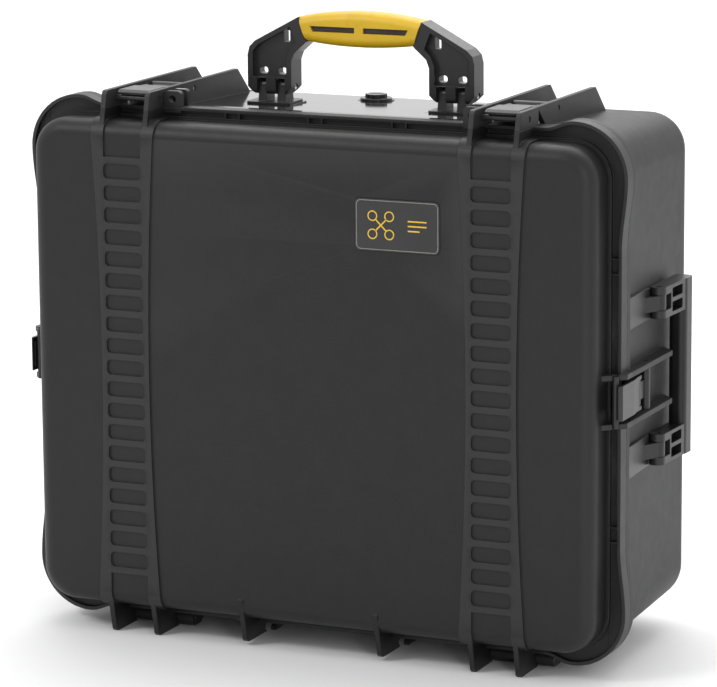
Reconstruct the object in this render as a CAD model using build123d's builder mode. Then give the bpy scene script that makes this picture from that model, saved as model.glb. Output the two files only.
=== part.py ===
from build123d import *
import math
import os

# Hard carrying case for a drone, standing upright on its hinge side, lid to the front.
# Frame: origin on the ground under the middle of the case, +X right, +Y rear, +Z up, millimetres.
# The lid hinges along the bottom edge, latches sit on the top and both sides, handles on top and sides.

os.makedirs("parts", exist_ok=True)

# ---- driving dimensions -------------------------------------------------------------------------
lid_width = 584.0
lid_height = 481.0
centre_z = 269.0
case_depth = 272.0
front_y = -case_depth / 2
rear_y = case_depth / 2
parting_y = -81.0
parting_gap = 0.4

# Lid form
ladder_rise = 2.0
lid_face_y = front_y + ladder_rise
lid_corner = 34.0
lid_edge = 15.0
lid_wall = 5.0
lid_back_y = parting_y - parting_gap / 2
lid_flange_depth = 14.6
lid_flange_front_y = lid_back_y - lid_flange_depth

# Body form
body_step = 8.5
body_width = lid_width + 2 * body_step
body_height = lid_height + 2 * body_step
body_corner = lid_corner + body_step
body_draft = 2.0
body_edge = 30.0
body_wall = 6.0
body_front_y = parting_y + parting_gap / 2
body_flange_depth = 8.6
rear_pad_rise = 2.5
body_rear_y = rear_y - rear_pad_rise

# Flange outline: narrow along the sides, wider bumpers round the corners
flange_side_mid = 13.5
flange_top_mid = 11.5
flange_corner = 19.0
bumper_radius = 53.0
top_swell_start = 228.0
side_swell_start = 140.0
channel_lip = 3.5
channel_wall = 3.0
channel_depth = 4.5
rib_thickness = 2.0

# Ladder bands and their slots
band_x = 191.3
band_waist = 25.4
band_end = 34.5
slot_count = 19
slot_pitch = 21.4
slot_width = 40.0
slot_height = 14.9
slot_corner = 4.5

# Guard fins and wings, in seat coordinates: u to the rear of the parting plane, v out from the reach
fin_offset = 23.25
fin_thickness = 5.0
fin_outer = fin_offset + fin_thickness / 2
fin_corner_slant = 0.5
fin_corner_radius = 5.0
fin_top_reach = centre_z
fin_side_reach = 312.0
lid_fin_lean = 43.5
lid_fin_root = -54.6
lid_fin_root_v = -48.0
wing_length = 149.0
wing_back = 28.0
side_wing_length = 108.0
side_wing_back = 13.0
fin_depth = 45.0
middle_fin_x = 71.5
skid_gap = 20.0

# Blocks that cut the lid's guards free of its shell, in seat coordinates
guard_zone_length = 70.0
guard_zone_rise = 20.0
top_guard_v = -16.9
padlock_side = 46.0
side_guard_v = -6.4
side_strip_v = -19.5
side_strip_half = 60.0
side_strip_end = 300.0

# Bottom hinge
hinge_z = 8.5
knuckle_radius = 6.5
knuckle_reach = 44.0
hinge_pin_radius = 3.0
running_clearance = 0.05
side_play = 0.4

# Latches, in seat coordinates
catch_u = -22.5
catch_v = -9.0
catch_radius = 3.0
latch_pivot_u = 52.0
latch_pivot_v = -7.5
latch_hub_radius = 5.0
latch_pin_radius = 2.5
lever_pivot_u = 30.0
lever_pivot_v = -7.2
lever_pin_radius = 1.8
lever_boss_radius = 3.4
claw_half = 12.5
lever_half = 16.5
hub_half = 20.2
nose_gap = 0.4

# Top handle
handle_y = 9.0
handle_pin_z = 531.7
handle_half_width = 120.0
handle_inner_half = 73.0
handle_thickness = 24.0
handle_pin_radius = 3.0
lug_x = (85.2, 105.4)
lug_width = 9.0
lug_slot = 9.8
handle_pad_z = 515.6
bracket_foot = 2.0
grip_half_length = 65.0
grip_thickness = 28.0
core_height = 12.0
core_centre = 59.0
core_thickness = 14.0

# Side handles
side_pivot_x = 307.0
side_pivot_y = 0.0
side_handle_z = centre_z + 6
side_knuckle_radius = 8.0
side_handle_tilt = 2.0
side_arm_z = 71.0
side_arm_height = 30.0
side_arm_length = 58.0
side_lug_height = 15.0
side_grip_depth = 24.0
side_grip_width = 18.0
side_pin_radius = 3.0

# Pressure valve
valve_x = -18.0
valve_y = 77.0
valve_seat_z = 513.2
valve_radius = 16.0
knob_radius = 11.0

# Badge
badge_x = 96.5
badge_rise = 157.5
badge_width = 86.0
badge_height = 49.5
badge_depth = 1.0
badge_proud = 0.5

# Foam
foam_clearance = 0.8
foam_lid_depth = 42.0


# ---- planes and shared forms --------------------------------------------------------------------
def facing_front(y):
    """Plane across the case at y, seen from the front, normal to the front."""
    return Plane(origin=(0, y, centre_z), x_dir=(1, 0, 0), z_dir=(0, -1, 0))


def facing_rear(y):
    """Plane across the case at y, normal to the rear."""
    return Plane(origin=(0, y, centre_z), x_dir=(-1, 0, 0), z_dir=(0, 1, 0))


def seat(x, z, outward):
    """Latch and fin frame on the parting plane: local x to the rear, local y outward."""
    rearward = Vector(0, 1, 0)
    return Plane(origin=(x, parting_y, z), x_dir=rearward, z_dir=rearward.cross(Vector(*outward)))


def body_wall_x(y):
    """Half width of the drafted body wall at y."""
    return body_width / 2 - (y - body_front_y) * math.tan(math.radians(body_draft))


def body_wall_z(y):
    """Height of the drafted top surface of the body at y."""
    return centre_z + body_height / 2 - (y - body_front_y) * math.tan(math.radians(body_draft))


def box_form(plane, width, height, corner, depth, edge, draft=0.0):
    """A block with rounded corners whose far face has a rounded rim."""
    with BuildPart() as form:
        with BuildSketch(plane):
            RectangleRounded(width, height, corner)
        extrude(amount=depth, taper=draft)
        far_face = form.faces().sort_by(Axis(plane.origin, plane.z_dir))[-1]
        fillet(far_face.edges(), edge)
    return form.part


def lid_form(grow):
    """Outer form of the lid, grown outward."""
    return box_form(facing_front(lid_back_y), lid_width + 2 * grow, lid_height + 2 * grow,
                    lid_corner + grow, lid_back_y - lid_face_y + grow, lid_edge + grow)


def lid_hollow(shrink):
    """Inside of the lid, shrunk inward by a clearance."""
    inset = lid_wall + shrink
    return box_form(facing_front(lid_back_y), lid_width - 2 * inset, lid_height - 2 * inset,
                    lid_corner - inset, lid_back_y - lid_face_y - inset, lid_edge - inset)


def body_hollow(shrink, start_y):
    """Inside of the body behind start_y, shrunk inward by a clearance."""
    lost = (start_y - body_front_y) * math.tan(math.radians(body_draft))
    inset = body_wall + shrink + lost
    return box_form(facing_rear(start_y), body_width - 2 * inset, body_height - 2 * inset,
                    body_corner - inset, body_rear_y - body_wall - shrink - start_y,
                    body_edge - body_wall - shrink, body_draft)


def flange_outline(inset):
    """Flange edge as a sketch: straight middles that swell to bumpers at the corners."""
    side_mid = lid_width / 2 + flange_side_mid - inset
    side_far = lid_width / 2 + flange_corner - inset
    top_mid = lid_height / 2 + flange_top_mid - inset
    top_far = lid_height / 2 + flange_corner - inset
    radius = bumper_radius - inset
    arc_x = side_far - radius
    arc_z = top_far - radius
    bow = radius * math.sqrt(0.5)
    with BuildSketch() as outline:
        with BuildLine():
            for sx in (-1, 1):
                Line((sx * side_mid, -side_swell_start), (sx * side_mid, side_swell_start))
                Line((-top_swell_start, sx * top_mid), (top_swell_start, sx * top_mid))
                for sz in (-1, 1):
                    Spline((sx * side_mid, sz * side_swell_start), (sx * side_far, sz * arc_z),
                           tangents=((0, sz), (0, sz)))
                    ThreePointArc((sx * side_far, sz * arc_z), (sx * (arc_x + bow), sz * (arc_z + bow)),
                                  (sx * arc_x, sz * top_far))
                    Spline((sx * arc_x, sz * top_far), (sx * top_swell_start, sz * top_mid),
                           tangents=((-sx, 0), (-sx, 0)))
        make_face()
    return outline.sketch


def ladder_band(centre_x):
    """Raised ladder over the lid, waisted, with a column of slots and an open cell at each end."""
    reach = lid_height / 2 + ladder_rise + 1
    column_end = (slot_count * slot_pitch + slot_height - slot_pitch) / 2
    cell_start = column_end + slot_pitch - slot_height
    with BuildPart() as band:
        add(lid_form(ladder_rise))
        with BuildSketch(facing_front(lid_back_y)):
            with BuildLine():
                for side in (-1, 1):
                    ThreePointArc((centre_x + side * band_end, -reach), (centre_x + side * band_waist, 0),
                                  (centre_x + side * band_end, reach))
                    Line((centre_x - band_end, side * reach), (centre_x + band_end, side * reach))
            make_face()
            with Locations((centre_x, 0)):
                with GridLocations(0, slot_pitch, 1, slot_count):
                    RectangleRounded(slot_width, slot_height, slot_corner, mode=Mode.SUBTRACT)
            for side in (-1, 1):
                with Locations((centre_x, side * (cell_start + reach) / 2)):
                    Rectangle(slot_width, reach - cell_start, mode=Mode.SUBTRACT)
        extrude(amount=lid_back_y - front_y + 1, mode=Mode.INTERSECT)
    return band.part


def lid_fin(plane, reach_v=0.0):
    """Sloping guard plate that grows out of the lid and ends at the parting plane."""
    with BuildPart() as fin:
        with BuildSketch(plane):
            with BuildLine():
                Polyline((lid_fin_root, lid_fin_root_v), (-lid_fin_lean, reach_v), (-parting_gap / 2, reach_v),
                         (-parting_gap / 2, -fin_depth), (lid_fin_root + 8, lid_fin_root_v - 8), close=True)
            make_face()
        extrude(amount=fin_thickness / 2, both=True)
        edges = fin.edges().filter_by(Axis(plane.origin, plane.z_dir))
        diagonal = Axis(plane.origin, plane.y_dir - plane.x_dir * fin_corner_slant)
        corner = edges.sort_by(diagonal)[-1]
        fillet(corner, fin_corner_radius)
    return fin.part


def side_lid_fin(plane):
    """Triangular guard plate of a side latch, from the lid's face out to its full reach."""
    root_v = lid_width / 2 - 22 - fin_side_reach
    with BuildPart() as fin:
        with BuildSketch(plane):
            with BuildLine():
                Polyline((lid_fin_root + 3, root_v), (-15, 0), (-parting_gap / 2, 0),
                         (-parting_gap / 2, -fin_depth), (lid_fin_root + 9, -fin_depth), close=True)
            make_face()
        extrude(amount=fin_thickness / 2, both=True)
    return fin.part


def body_wing(plane, start, length, back, drop):
    """Long guard plate on the body: raked front, flat edge at full reach, sloping tail."""
    with BuildPart() as wing:
        with BuildSketch(plane):
            with BuildLine():
                Polyline((start, 0), (length, 0), (length + back, -drop), (length + back, -fin_depth),
                         (start + fin_depth, -fin_depth), (start, -3), close=True)
            make_face()
        extrude(amount=fin_thickness / 2, both=True)
    return wing.part


def guard_zone(plane, low, high, floor_v, rise=guard_zone_rise):
    """Block over the lid's half of a latch seat, from floor_v outwards."""
    with BuildPart() as zone:
        with BuildSketch(plane.offset(low)):
            with Locations((0, floor_v)):
                Rectangle(guard_zone_length, rise, align=(Align.MAX, Align.MIN))
        extrude(amount=high - low)
    return zone.part


def seat_pair(x, z, outward):
    """The two fin planes either side of a latch seat."""
    centre = seat(x, z, outward)
    return [centre.offset(side * fin_offset) for side in (-1, 1)]


UP = (0, 0, 1)
DOWN = (0, 0, -1)
RIGHT = (1, 0, 0)
LEFT = (-1, 0, 0)
top_z = centre_z + fin_top_reach
latch_seats = {
    "top_left": seat(-band_x, top_z, UP),
    "top_right": seat(band_x, top_z, UP),
    "left": seat(-fin_side_reach, centre_z, LEFT),
    "right": seat(fin_side_reach, centre_z, RIGHT),
}
top_fin_planes = seat_pair(-band_x, top_z, UP) + seat_pair(band_x, top_z, UP)
bottom_fin_planes = seat_pair(-band_x, 0, DOWN) + seat_pair(band_x, 0, DOWN)
side_fin_planes = seat_pair(-fin_side_reach, centre_z, LEFT) + seat_pair(fin_side_reach, centre_z, RIGHT)
middle_fin_planes = [seat(side * middle_fin_x, 0, DOWN) for side in (-1, 1)]
band_sides = (-1, 1)
hinge_bores = Plane(origin=(0, parting_y, hinge_z), x_dir=(0, 1, 0), z_dir=(1, 0, 0))


# ---- lid shell ----------------------------------------------------------------------------------
with BuildPart() as lid_shell:
    add(lid_form(0))
    for band_side in band_sides:
        add(ladder_band(band_side * band_x))
    with BuildSketch(facing_front(lid_back_y)):
        add(flange_outline(0))
    extrude(amount=lid_flange_depth)
    with BuildSketch(facing_front(lid_flange_front_y)):
        add(flange_outline(channel_lip))
        RectangleRounded(lid_width + 2 * channel_wall, lid_height + 2 * channel_wall,
                         lid_corner + channel_wall, mode=Mode.SUBTRACT)
    extrude(amount=-channel_depth, mode=Mode.SUBTRACT)
    # Rib pairs that bridge the flange channel
    with BuildSketch(facing_front(lid_flange_front_y)):
        rib_reach = lid_height / 2 + flange_top_mid / 2
        for rib_x in (-92.4, -5.2, 81.8):
            for side in (-1, 1):
                with Locations((rib_x - 7.2, side * rib_reach), (rib_x + 7.2, side * rib_reach)):
                    Rectangle(rib_thickness, flange_top_mid)
        rib_reach = lid_width / 2 + flange_side_mid / 2
        for rib_z in (-129, 126):
            for side in (-1, 1):
                with Locations((side * rib_reach, rib_z - 7.2), (side * rib_reach, rib_z + 7.2)):
                    Rectangle(flange_side_mid, rib_thickness)
    extrude(amount=-channel_depth)
    # Guard fins on the top, the bottom and the sides
    for plane in top_fin_planes + bottom_fin_planes:
        add(lid_fin(plane))
    for plane in middle_fin_planes:
        add(lid_fin(plane, -4))
    for plane in side_fin_planes:
        add(side_lid_fin(plane))
    # Hinge ears: round ends of the outer bottom fins
    for plane in bottom_fin_planes:
        with BuildSketch(plane):
            with Locations((0, -hinge_z)):
                Circle(knuckle_radius)
        extrude(amount=fin_thickness / 2, both=True)
    # Padlock eyes on the inner side of each top latch
    for band_side in band_sides:
        eye_x = band_side * (band_x - fin_offset - 12)
        with BuildSketch(facing_front(lid_flange_front_y)):
            with Locations((eye_x, lid_height / 2 + 18)):
                RectangleRounded(18, 18, 4)
            with Locations((eye_x, lid_height / 2 + 10)):
                Rectangle(18, 8)
            with Locations((eye_x, lid_height / 2 + 19)):
                Circle(3.6, mode=Mode.SUBTRACT)
        extrude(amount=-6.5)
    # Latch bays let the claws pass over the flange
    for name in latch_seats:
        with BuildSketch(latch_seats[name]):
            with Locations((-8, 8 - 14.5)):
                Rectangle(18, 16)
        extrude(amount=fin_offset - fin_thickness / 2, both=True, mode=Mode.SUBTRACT)
        with BuildSketch(latch_seats[name]):
            with Locations((catch_u, catch_v)):
                Circle(catch_radius + running_clearance)
        extrude(amount=fin_offset + fin_thickness, both=True, mode=Mode.SUBTRACT)
    with BuildSketch(hinge_bores):
        Circle(hinge_pin_radius + running_clearance)
    extrude(amount=lid_width / 2, both=True, mode=Mode.SUBTRACT)
    # Badge recess and the inside
    with BuildSketch(facing_front(lid_face_y)):
        with Locations((badge_x, badge_rise)):
            RectangleRounded(badge_width + 0.4, badge_height + 0.4, 5)
    extrude(amount=-badge_depth, mode=Mode.SUBTRACT)
    add(lid_hollow(0), mode=Mode.SUBTRACT)
# The guards beside each latch are cut free of the shell, so that each bay stays open between them
side_strip_rise = side_guard_v - side_strip_v
guard_zones = {
    "lid_guards_top_left": guard_zone(latch_seats["top_left"], -fin_outer, padlock_side, top_guard_v),
    "lid_guards_top_right": guard_zone(latch_seats["top_right"], -padlock_side, fin_outer, top_guard_v),
}
for name in ("left", "right"):
    guard_zones["lid_guards_" + name] = guard_zone(latch_seats[name], -fin_outer, fin_outer, side_guard_v)
    strip_plane = latch_seats[name]
    for label, low, high in (("flange", -side_strip_half, side_strip_half),
                             ("bumper_a", side_strip_half, side_strip_end),
                             ("bumper_b", -side_strip_end, -side_strip_half)):
        rise = side_strip_rise if label == "flange" else guard_zone_rise
        guard_zones["lid_" + label + "_" + name] = guard_zone(strip_plane, low, high, side_strip_v, rise)
for name in guard_zones:
    with BuildPart() as lid_guards:
        add(lid_shell.part)
        add(guard_zones[name], mode=Mode.INTERSECT)
    lid_guards.part.label = name
    export_step(lid_guards.part, "parts/" + name + ".step")
with BuildPart() as lid_main:
    add(lid_shell.part)
    for name in guard_zones:
        add(guard_zones[name], mode=Mode.SUBTRACT)
lid_main.part.label = "lid_shell"
export_step(lid_main.part, "parts/lid_shell.step")


# ---- body shell ---------------------------------------------------------------------------------
with BuildPart() as body_shell:
    add(box_form(facing_rear(body_front_y), body_width, body_height, body_corner,
                 body_rear_y - body_front_y, body_edge, body_draft))
    with BuildSketch(facing_rear(body_front_y)):
        add(flange_outline(0))
    extrude(amount=body_flange_depth)
    # Wings: full length on top, shorter skids below, short guards beside the side latches
    for plane in top_fin_planes:
        add(body_wing(plane, parting_gap / 2, wing_length, wing_back, 26))
    for plane in bottom_fin_planes + middle_fin_planes:
        add(body_wing(plane, skid_gap, wing_length, wing_back, 26))
    for plane in side_fin_planes:
        add(body_wing(plane, parting_gap / 2, side_wing_length, side_wing_back, 14))
    # Hinge knuckles with webs up to the bottom wall
    for band_side in band_sides:
        inner = fin_offset - fin_thickness / 2 - side_play
        outer = fin_offset + fin_thickness / 2 + side_play
        knuckles = ((0, 2 * inner), (-(outer + knuckle_reach) / 2, knuckle_reach - outer),
                    ((outer + knuckle_reach) / 2, knuckle_reach - outer))
        for offset_x, length in knuckles:
            with BuildSketch(hinge_bores.offset(band_side * band_x + offset_x)):
                Circle(knuckle_radius)
                with BuildLine():
                    Polyline((0.6, knuckle_radius), (0.6, 16), (34, 16), (12, -knuckle_radius),
                             (0.6, -knuckle_radius), close=True)
                make_face()
            extrude(amount=length / 2, both=True)
    # Padlock eyes
    for band_side in band_sides:
        eye_x = -band_side * (band_x - fin_offset - 12)
        with BuildSketch(facing_rear(body_front_y)):
            with Locations((eye_x, lid_height / 2 + 18)):
                RectangleRounded(18, 18, 4)
            with Locations((eye_x, lid_height / 2 + 10)):
                Rectangle(18, 8)
            with Locations((eye_x, lid_height / 2 + 19)):
                Circle(3.6, mode=Mode.SUBTRACT)
        extrude(amount=6.5)
    # Flat seats for the handle brackets and the valve
    with BuildSketch(Plane.XY.offset(handle_pad_z)):
        for side in (-1, 1):
            with Locations((side * (handle_inner_half + handle_half_width) / 2, handle_y)):
                RectangleRounded(52, 44, 6)
    extrude(amount=-8)
    with BuildSketch(Plane.XY.offset(valve_seat_z)):
        with Locations((valve_x, valve_y)):
            Circle(valve_radius + 2)
    extrude(amount=-6)
    # Pads on the rear wall that the case lies on when it is open
    with BuildSketch(facing_rear(body_rear_y)):
        for side in (-1, 1):
            with Locations((side * band_x, 0)):
                RectangleRounded(56, 360, 12)
                with GridLocations(0, 58, 1, 6):
                    RectangleRounded(40, 42, 6, mode=Mode.SUBTRACT)
    extrude(amount=rear_pad_rise)
    # Latch bays and latch pin bores
    for name in latch_seats:
        with BuildSketch(latch_seats[name]):
            with Locations((4.7, 8 - 11.6)):
                Rectangle(10.4, 16)
        extrude(amount=fin_offset - fin_thickness / 2, both=True, mode=Mode.SUBTRACT)
        with BuildSketch(latch_seats[name]):
            with Locations((latch_pivot_u, latch_pivot_v)):
                Circle(latch_pin_radius + running_clearance)
        extrude(amount=fin_offset + fin_thickness, both=True, mode=Mode.SUBTRACT)
    with BuildSketch(hinge_bores):
        Circle(hinge_pin_radius + running_clearance)
    extrude(amount=lid_width / 2, both=True, mode=Mode.SUBTRACT)
    # Groove for the seal
    with BuildSketch(facing_rear(body_front_y)):
        RectangleRounded(lid_width + 17, lid_height + 17, lid_corner + 8.5)
        RectangleRounded(lid_width + 7, lid_height + 7, lid_corner + 3.5, mode=Mode.SUBTRACT)
    extrude(amount=3.5, mode=Mode.SUBTRACT)
    # Valve bore through the wall, then the inside
    with BuildSketch(Plane.XY.offset(valve_seat_z)):
        with Locations((valve_x, valve_y)):
            Circle(7)
    extrude(amount=-20, mode=Mode.SUBTRACT)
    add(body_hollow(0, body_front_y), mode=Mode.SUBTRACT)
body_shell.part.label = "body_shell"
export_step(body_shell.part, "parts/body_shell.step")


# ---- seal, badge and catch bars -----------------------------------------------------------------
with BuildPart() as body_seal:
    with BuildSketch(facing_rear(body_front_y)):
        RectangleRounded(lid_width + 16.6, lid_height + 16.6, lid_corner + 8.3)
        RectangleRounded(lid_width + 7.4, lid_height + 7.4, lid_corner + 3.7, mode=Mode.SUBTRACT)
    extrude(amount=3.4)
body_seal.part.label = "body_seal"
export_step(body_seal.part, "parts/body_seal.step")

with BuildPart() as badge_plate:
    with BuildSketch(facing_front(lid_face_y + badge_depth)):
        with Locations((badge_x, badge_rise)):
            RectangleRounded(badge_width, badge_height, 4.8)
    extrude(amount=badge_depth + badge_proud)
badge_plate.part.label = "badge_plate"
export_step(badge_plate.part, "parts/badge_plate.step")

for name in latch_seats:
    with BuildPart() as catch_bar:
        with BuildSketch(latch_seats[name]):
            with Locations((catch_u, catch_v)):
                Circle(catch_radius)
        extrude(amount=fin_offset + 1.5, both=True)
    catch_bar.part.label = "catch_bar_" + name
    export_step(catch_bar.part, "parts/catch_bar_" + name + ".step")

# ---- hinge pins ---------------------------------------------------------------------------------
for band_side, name in zip(band_sides, ("left", "right")):
    with BuildPart() as hinge_pin:
        with BuildSketch(hinge_bores.offset(band_side * band_x)):
            Circle(hinge_pin_radius)
        extrude(amount=knuckle_reach - 1, both=True)
    hinge_pin.part.label = "hinge_pin_" + name
    export_step(hinge_pin.part, "parts/hinge_pin_" + name + ".step")


# ---- latches ------------------------------------------------------------------------------------
nose_v = catch_v + catch_radius + nose_gap
boss = lever_boss_radius


def latch_claw(plane):
    """Claw link: nose over the catch bar, tongue under the lever, hub round the latch pin."""
    with BuildPart() as claw:
        with BuildSketch(plane):
            with BuildLine():
                Polyline((-26, nose_v), (-26, -4.4), (8, -4.4), (20, -6), (26, -6), (26, -10.4),
                         (-16, -10.4), (-18.4, nose_v), close=True)
            make_face()
            with Locations((lever_pivot_u, lever_pivot_v)):
                Circle(boss)
        extrude(amount=claw_half, both=True)
        with BuildSketch(plane):
            with Locations(((lever_pivot_u + latch_pivot_u) / 2 - 2, -8.2)):
                Rectangle(latch_pivot_u - lever_pivot_u + 4, 4.4)
        extrude(amount=8.5, both=True)
        with BuildSketch(plane):
            with Locations((latch_pivot_u, latch_pivot_v)):
                Circle(latch_hub_radius)
        extrude(amount=hub_half, both=True)
        with BuildSketch(plane):
            with Locations((latch_pivot_u, latch_pivot_v)):
                Circle(latch_pin_radius + running_clearance)
            with Locations((lever_pivot_u, lever_pivot_v)):
                Circle(lever_pin_radius + running_clearance)
        extrude(amount=hub_half + 1, both=True, mode=Mode.SUBTRACT)
    return claw.part


def latch_lever(plane):
    """Release lever: cover plate with side cheeks that turn on the lever pin in the claw."""
    with BuildPart() as lever:
        with BuildSketch(plane):
            with BuildLine():
                Polyline((-29, -4), (-29, -3), (-25, -0.8), (6, -0.8), (18, -2.4), (24, -2.4),
                         (24, -4), close=True)
            make_face()
        extrude(amount=lever_half, both=True)
        for side in (-1, 1):
            with BuildSketch(plane.offset(side * (lever_half + claw_half + side_play) / 2)):
                with Locations((lever_pivot_u, lever_pivot_v)):
                    Circle(boss + 0.6)
                with BuildLine():
                    Polyline((2, -4), (2, -8), (lever_pivot_u, -10.6), (lever_pivot_u, -2.6), (20, -2.6),
                             (20, -4), close=True)
                make_face()
            extrude(amount=(lever_half - claw_half - side_play) / 2, both=True)
        with BuildSketch(plane):
            with Locations((lever_pivot_u, lever_pivot_v)):
                Circle(lever_pin_radius + running_clearance)
        extrude(amount=lever_half + 1, both=True, mode=Mode.SUBTRACT)
    return lever.part


for name in latch_seats:
    claw_part = latch_claw(latch_seats[name])
    claw_part.label = "latch_claw_" + name
    export_step(claw_part, "parts/latch_claw_" + name + ".step")
    lever_part = latch_lever(latch_seats[name])
    lever_part.label = "latch_lever_" + name
    export_step(lever_part, "parts/latch_lever_" + name + ".step")
    with BuildPart() as latch_pins:
        with BuildSketch(latch_seats[name]):
            with Locations((latch_pivot_u, latch_pivot_v)):
                Circle(latch_pin_radius)
        extrude(amount=fin_offset + 1.5, both=True)
    latch_pins.part.label = "latch_pin_" + name
    export_step(latch_pins.part, "parts/latch_pin_" + name + ".step")
    with BuildPart() as lever_pin:
        with BuildSketch(latch_seats[name]):
            with Locations((lever_pivot_u, lever_pivot_v)):
                Circle(lever_pin_radius)
        extrude(amount=lever_half, both=True)
    lever_pin.part.label = "lever_pin_" + name
    export_step(lever_pin.part, "parts/lever_pin_" + name + ".step")

# ---- top handle ---------------------------------------------------------------------------------
handle_plane = Plane(origin=(0, handle_y, handle_pin_z), x_dir=(1, 0, 0), z_dir=(0, -1, 0))
with BuildPart() as handle_frame:
    for side in (-1, 1):
        with BuildSketch(handle_plane):
            with BuildLine():
                Polyline((side * 65, 70), (side * 112, 45), (side * 118, 39), (side * 120, 31),
                                 (side * 120, 0), (side * 113, -7.2), (side * 80, -7.2), (side * 73, 0),
                                 (side * 73, 26), (side * 70, 34), (side * 56.5, 46), close=True)
            make_face()
        extrude(amount=handle_thickness / 2, both=True)
        # Recessed panels front and back leave a rim and a web
        for face_side in (-1, 1):
            with BuildSketch(handle_plane.offset(face_side * handle_thickness / 2)):
                with BuildLine():
                    Polyline((side * 74, 60), (side * 109, 41.2), (side * 114.5, 34), (side * 114.5, 10),
                             (side * 78.5, 10), (side * 78.5, 28), (side * 74, 38), (side * 68, 44),
                             close=True)
                make_face()
            extrude(amount=-face_side * 6.5, mode=Mode.SUBTRACT)
        with BuildSketch(handle_plane):
            with Locations((side * 80, 50)):
                RectangleRounded(6.5, 12, 1.5)
            for x in lug_x:
                with Locations((side * x, 15.5)):
                    RectangleRounded(9, 7, 2.8)
                with Locations((side * x, 0)):
                    Rectangle(lug_slot, 19)
        extrude(amount=handle_thickness, both=True, mode=Mode.SUBTRACT)
    fillet(handle_frame.edges().filter_by(Axis.X).filter_by_position(Axis.Z, handle_pin_z - 8,
                                                                     handle_pin_z - 7), 5)
    with BuildSketch(handle_plane):
        with Locations((0, core_centre)):
            Rectangle(2 * grip_half_length, core_height)
    extrude(amount=core_thickness / 2, both=True)
    with BuildSketch(Plane(origin=(0, handle_y, handle_pin_z), x_dir=(0, 1, 0), z_dir=(1, 0, 0))):
        Circle(handle_pin_radius + running_clearance)
    extrude(amount=handle_half_width + 5, both=True, mode=Mode.SUBTRACT)
handle_frame.part.label = "handle_frame"
export_step(handle_frame.part, "parts/handle_frame.step")

with BuildPart() as handle_grip:
    with BuildSketch(handle_plane):
        with BuildLine():
            ThreePointArc((-65, 70), (0, 76.8), (65, 70))
            Line((65, 70), (56.5, 46))
            ThreePointArc((56.5, 46), (0, 42.2), (-56.5, 46))
            Line((-56.5, 46), (-65, 70))
        make_face()
    extrude(amount=grip_thickness / 2, both=True)
    long_edges = handle_grip.edges().filter_by(lambda edge: abs(edge.center().X) < 1)
    fillet(long_edges, 9)
    with BuildSketch(handle_plane):
        with Locations((0, core_centre)):
            Rectangle(140, core_height + 0.2)
    extrude(amount=core_thickness / 2 + 0.1, both=True, mode=Mode.SUBTRACT)
    for face_side in (-1, 1):
        with BuildSketch(handle_plane.offset(face_side * grip_thickness / 2)):
            for side in (-1, 1):
                with BuildLine():
                    Polyline((side * 4.5, 62), (side * 52, 62), (side * 49, 56.5), (side * 4.5, 56.5), close=True)
                make_face()
        extrude(amount=-face_side * 6, mode=Mode.SUBTRACT)
handle_grip.part.label = "handle_grip"
export_step(handle_grip.part, "parts/handle_grip.step")

with BuildPart() as grip_inlays:
    for face_side in (-1, 1):
        with BuildSketch(handle_plane.offset(face_side * (grip_thickness / 2 - 6))):
            for side in (-1, 1):
                with BuildLine():
                    Polyline((side * 4.7, 61.8), (side * 51.6, 61.8), (side * 48.8, 56.7), (side * 4.7, 56.7),
                             close=True)
                make_face()
        extrude(amount=face_side * 3.5)
grip_inlays.part.label = "grip_inlays"
export_step(grip_inlays.part, "parts/grip_inlays.step")

handle_side_plane = Plane(origin=(0, handle_y, handle_pin_z), x_dir=(0, 1, 0), z_dir=(1, 0, 0))
foot_top = handle_pad_z + bracket_foot
for side, name in ((-1, "left"), (1, "right")):
    with BuildPart() as handle_bracket:
        with BuildSketch(Plane.XY.offset(handle_pad_z)):
            with Locations((side * (handle_inner_half + handle_half_width) / 2, handle_y)):
                RectangleRounded(46, 38, 5)
        extrude(amount=bracket_foot)
        for x in lug_x:
            with BuildSketch(handle_side_plane.offset(side * x)):
                Circle(7.2)
                with BuildLine():
                    Polyline((-7.2, 0), (7.2, 0), (9.5, foot_top - handle_pin_z),
                             (-9.5, foot_top - handle_pin_z), close=True)
                make_face()
                Circle(handle_pin_radius + running_clearance, mode=Mode.SUBTRACT)
            extrude(amount=lug_width / 2, both=True)
    handle_bracket.part.label = "handle_bracket_" + name
    export_step(handle_bracket.part, "parts/handle_bracket_" + name + ".step")
    with BuildPart() as handle_pin:
        with BuildSketch(handle_side_plane.offset(side * (handle_inner_half + handle_half_width) / 2)):
            Circle(handle_pin_radius)
        extrude(amount=22.5, both=True)
    handle_pin.part.label = "handle_pin_" + name
    export_step(handle_pin.part, "parts/handle_pin_" + name + ".step")

# ---- side handles -------------------------------------------------------------------------------
tilt = math.radians(side_handle_tilt)
reach_dir = Vector(math.sin(tilt), math.cos(tilt), 0)
arm_plane = Plane(origin=(side_pivot_x, side_pivot_y, side_handle_z), x_dir=reach_dir, z_dir=(0, 0, 1))
outer_face = Plane(origin=arm_plane.from_local_coords((0, -side_knuckle_radius, 0)), x_dir=reach_dir,
                   z_dir=reach_dir.cross(Vector(0, 0, 1)))
lug_axis = Plane(origin=(side_pivot_x, side_pivot_y, side_handle_z), x_dir=(1, 0, 0), z_dir=(0, 0, 1))

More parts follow.
